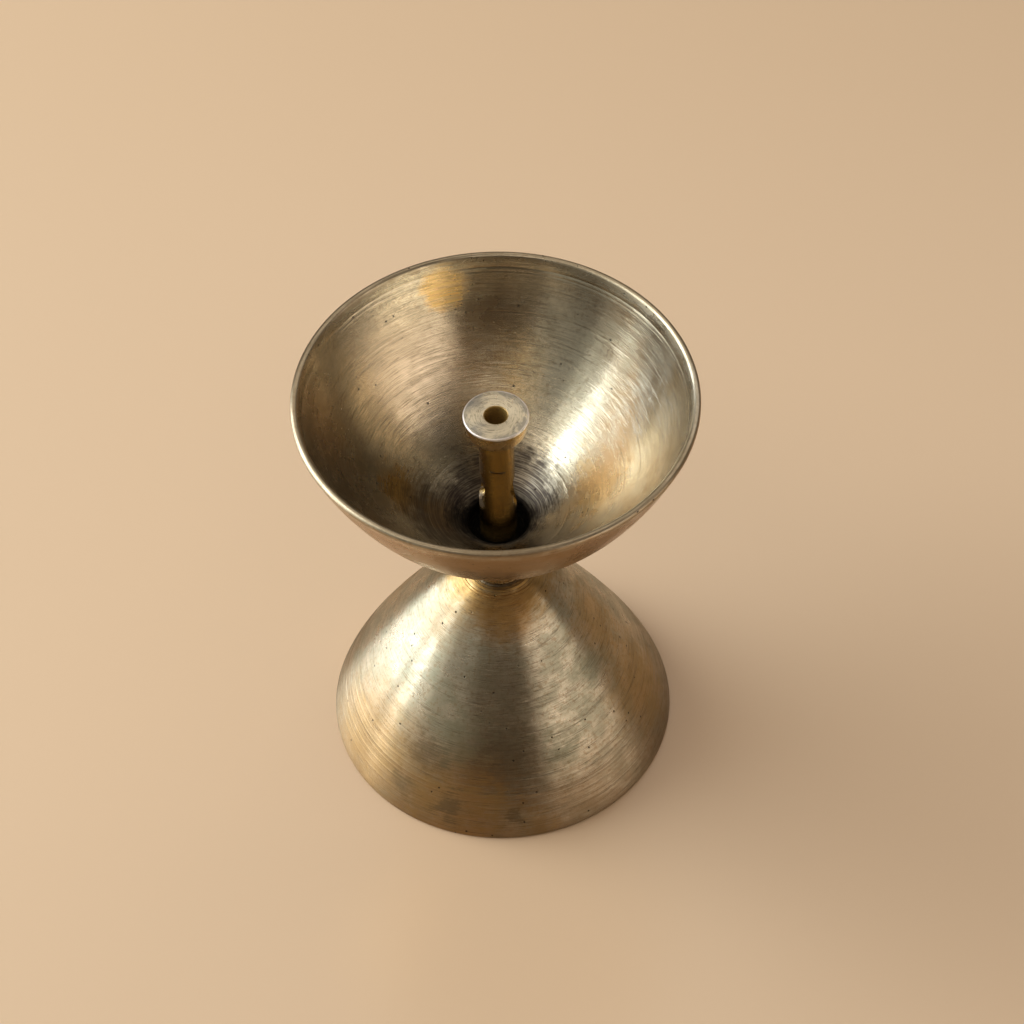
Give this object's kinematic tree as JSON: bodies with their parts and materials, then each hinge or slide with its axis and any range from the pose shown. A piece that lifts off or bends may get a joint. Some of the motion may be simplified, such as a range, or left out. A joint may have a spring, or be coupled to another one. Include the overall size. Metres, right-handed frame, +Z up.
{
  "type": "double-bowl diya",
  "caption": "Small turned brass oil lamp: an oil bowl with a central wick tube, screwed onto an upside-down bowl that is its foot.",
  "frame": {"origin": "on the table under the centre of the foot", "axes": "+Z up along the turning axis; the oil port across the wick tube runs along X"},
  "size_m": [0.06, 0.06, 0.0748],
  "materials": {
    "base_brass": "satin turned brass, dulled, with fine turning rings, casting pits and brown tarnish",
    "bowl_brass": "satin turned brass, dulled, with soot and brown oil stain at the bottom of the bowl",
    "tube_brass": "satin turned brass, warm on the stem and pale on the faced head"
  },
  "bodies": {
    "base_bowl": {"base_bowl": "base_brass"},
    "oil_bowl": {"oil_bowl": "bowl_brass"},
    "wick_tube": {"wick_tube": "tube_brass"}
  },
  "joints": [
    {"name": "bowl_lift", "type": "slide", "parent": "base_bowl", "child": "oil_bowl", "axis": [0, 0, 1], "range_m": [0, 0.015]},
    {"name": "tube_lift", "type": "slide", "parent": "oil_bowl", "child": "wick_tube", "axis": [0, 0, 1], "range_m": [0, 0.04]}
  ]
}
